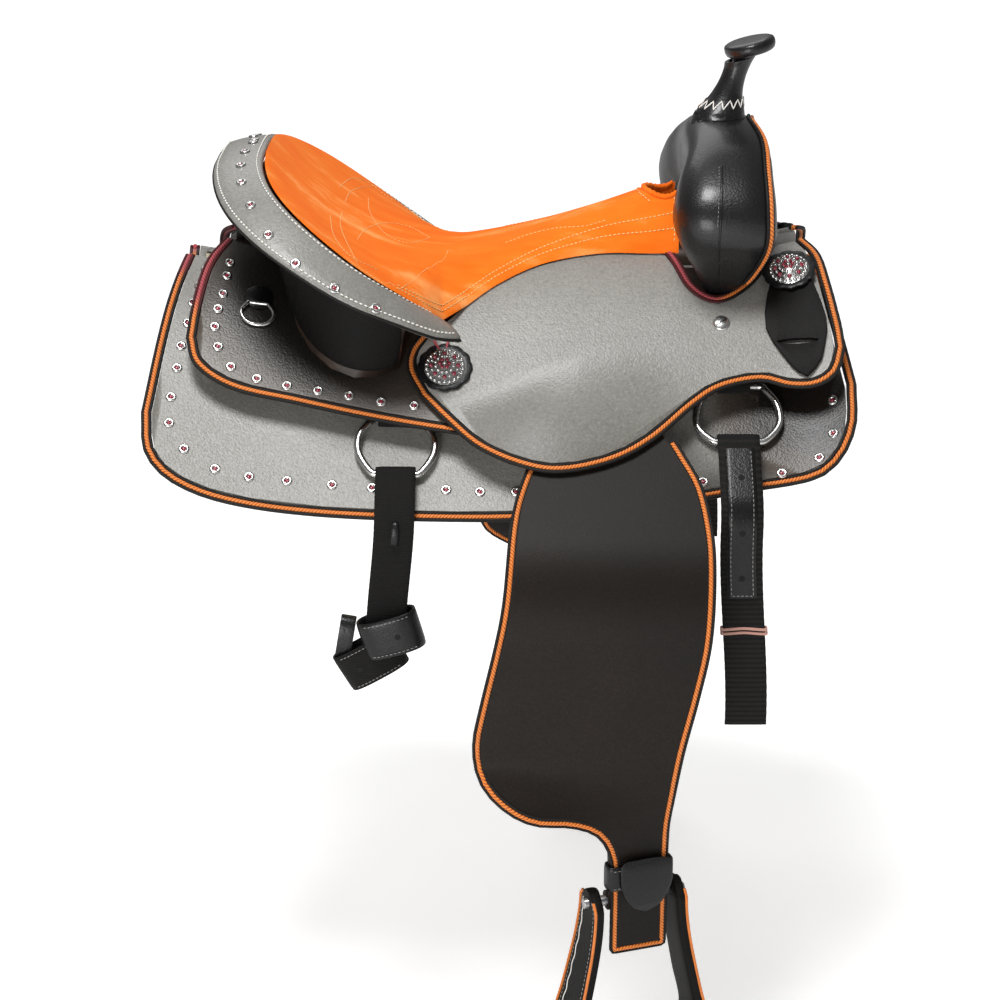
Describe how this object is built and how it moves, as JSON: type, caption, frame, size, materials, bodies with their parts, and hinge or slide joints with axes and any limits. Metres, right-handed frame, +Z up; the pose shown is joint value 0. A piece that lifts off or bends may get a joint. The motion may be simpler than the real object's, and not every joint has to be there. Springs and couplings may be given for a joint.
{
  "type": "barrel racing saddle",
  "caption": "Western barrel racing saddle: high cantle, dished suede seat, swelled fork with a tilted horn, square skirts, swinging fenders with stirrups, rigging dees and billets.",
  "frame": {"origin": "on the centre plane, 30 mm below the height of the skirts' inner edge line at the middle of the saddle, where the horse's spine would be", "axes": "+Z up, +X towards the horse's head, +Y the horse's left side"},
  "size_m": [0.6488, 0.6978, 0.9078],
  "materials": {
    "orange_suede": "brushed suede",
    "seat_foam_grey": "foam",
    "brown_tree_leather": "natural",
    "tree_wood": "sealed",
    "black_leather": "satin",
    "braided_lace": "braided, satin",
    "zinc_steel": "zinc plated",
    "grey_pebbled_leather": "pebbled, satin",
    "woolskin": "fleece",
    "dark_oiled_leather": "oiled satin",
    "silver_plate": "polished silver plate",
    "nylon_webbing": "woven"
  },
  "bodies": {
    "saddle": {"seat_cover": "orange_suede", "seat_foam": "seat_foam_grey", "ground_seat": "brown_tree_leather", "tree_bar_right": "tree_wood", "tree_fork": "tree_wood", "fork_cover": "black_leather", "fork_binding": "braided_lace", "horn_wrap": "black_leather", "horn_post": "zinc_steel", "horn_cap": "black_leather", "tree_cantle": "tree_wood", "cantle_roll": "grey_pebbled_leather", "cantle_back": "black_leather", "skirt_right": "grey_pebbled_leather", "skirt_trim_right": "braided_lace", "skirt_fleece_right": "woolskin", "rear_jockey_right": "grey_pebbled_leather", "rear_jockey_trim_right": "braided_lace", "seat_jockey_right": "grey_pebbled_leather", "seat_jockey_trim_right": "braided_lace", "front_dee_tab_right": "black_leather", "rear_dee_tab_right": "black_leather", "latigo_keeper_right": "black_leather", "concho_front_right": "silver_plate", "concho_mid_right": "silver_plate", "tree_bar_left": "tree_wood", "skirt_left": "grey_pebbled_leather", "skirt_trim_left": "braided_lace", "skirt_fleece_left": "woolskin", "rear_jockey_left": "grey_pebbled_leather", "rear_jockey_trim_left": "braided_lace", "seat_jockey_left": "grey_pebbled_leather", "seat_jockey_trim_left": "braided_lace", "front_dee_tab_left": "black_leather", "rear_dee_tab_left": "black_leather", "latigo_keeper_left": "black_leather", "concho_front_left": "silver_plate", "concho_mid_left": "silver_plate"},
    "fender_right": {"fender_right": "dark_oiled_leather", "fender_trim_right": "braided_lace", "stirrup_leather_right": "brown_tree_leather", "hobble_strap_right": "black_leather"},
    "stirrup_right": {"stirrup_right": "black_leather", "stirrup_bolt_right": "zinc_steel"},
    "front_dee_right": {"front_dee_right": "silver_plate"},
    "front_strap_right": {"front_strap_right": "nylon_webbing"},
    "rear_dee_right": {"rear_dee_right": "silver_plate"},
    "rear_billet_right": {"rear_billet_right": "black_leather"},
    "string_dee_right": {"string_dee_right": "silver_plate"},
    "fender_left": {"fender_left": "dark_oiled_leather", "fender_trim_left": "braided_lace", "stirrup_leather_left": "brown_tree_leather", "hobble_strap_left": "black_leather"},
    "stirrup_left": {"stirrup_left": "black_leather", "stirrup_bolt_left": "zinc_steel"},
    "front_dee_left": {"front_dee_left": "silver_plate"},
    "front_strap_left": {"front_strap_left": "nylon_webbing"},
    "rear_dee_left": {"rear_dee_left": "silver_plate"},
    "rear_billet_left": {"rear_billet_left": "black_leather"},
    "string_dee_left": {"string_dee_left": "silver_plate"}
  },
  "joints": [
    {"name": "fender_swing_right", "type": "hinge", "parent": "saddle", "child": "fender_right", "pos_m": [0.105, -0.11727, 0.00131], "axis": [0, -0.6691, 0.7431], "range_deg": [-25, 25]},
    {"name": "stirrup_swing_right", "type": "hinge", "parent": "fender_right", "child": "stirrup_right", "pos_m": [0.12214, -0.30084, -0.47], "axis": [-0.9511, -0.309, 0], "range_deg": [-60, 60]},
    {"name": "front_dee_lift_right", "type": "hinge", "parent": "saddle", "child": "front_dee_right", "pos_m": [0.215, -0.1395, -0.03377], "axis": [1, 0, 0], "range_deg": [-25, 0]},
    {"name": "front_strap_lift_right", "type": "hinge", "parent": "front_dee_right", "child": "front_strap_right", "pos_m": [0.215, -0.1823, -0.07232], "axis": [1, 0, 0], "range_deg": [-60, 0]},
    {"name": "rear_dee_lift_right", "type": "hinge", "parent": "saddle", "child": "rear_dee_right", "pos_m": [-0.0935, -0.16625, -0.05743], "axis": [-0.9997, 0, 0.0256], "range_deg": [0, 25]},
    {"name": "rear_billet_lift_right", "type": "hinge", "parent": "rear_dee_right", "child": "rear_billet_right", "pos_m": [-0.0935, -0.2075, -0.09457], "axis": [-0.9997, 0, 0.0256], "range_deg": [0, 60]},
    {"name": "string_dee_lift_right", "type": "hinge", "parent": "saddle", "child": "string_dee_right", "pos_m": [-0.2223, -0.10401, 0.03555], "axis": [-0.9924, 0, 0.1231], "range_deg": [0, 90]},
    {"name": "fender_swing_left", "type": "hinge", "parent": "saddle", "child": "fender_left", "pos_m": [0.105, 0.11727, 0.00131], "axis": [0, -0.6691, -0.7431], "range_deg": [-25, 25]},
    {"name": "stirrup_swing_left", "type": "hinge", "parent": "fender_left", "child": "stirrup_left", "pos_m": [0.12214, 0.30084, -0.47], "axis": [0.9511, -0.309, 0], "range_deg": [-60, 60]},
    {"name": "front_dee_lift_left", "type": "hinge", "parent": "saddle", "child": "front_dee_left", "pos_m": [0.215, 0.1395, -0.03377], "axis": [-1, 0, 0], "range_deg": [-25, 0]},
    {"name": "front_strap_lift_left", "type": "hinge", "parent": "front_dee_left", "child": "front_strap_left", "pos_m": [0.215, 0.1823, -0.07232], "axis": [-1, 0, 0], "range_deg": [-60, 0]},
    {"name": "rear_dee_lift_left", "type": "hinge", "parent": "saddle", "child": "rear_dee_left", "pos_m": [-0.0935, 0.16625, -0.05743], "axis": [0.9997, 0, -0.0256], "range_deg": [0, 25]},
    {"name": "rear_billet_lift_left", "type": "hinge", "parent": "rear_dee_left", "child": "rear_billet_left", "pos_m": [-0.0935, 0.2075, -0.09457], "axis": [0.9997, 0, -0.0256], "range_deg": [0, 60]},
    {"name": "string_dee_lift_left", "type": "hinge", "parent": "saddle", "child": "string_dee_left", "pos_m": [-0.2223, 0.10401, 0.03555], "axis": [0.9924, 0, -0.1231], "range_deg": [0, 90]}
  ]
}
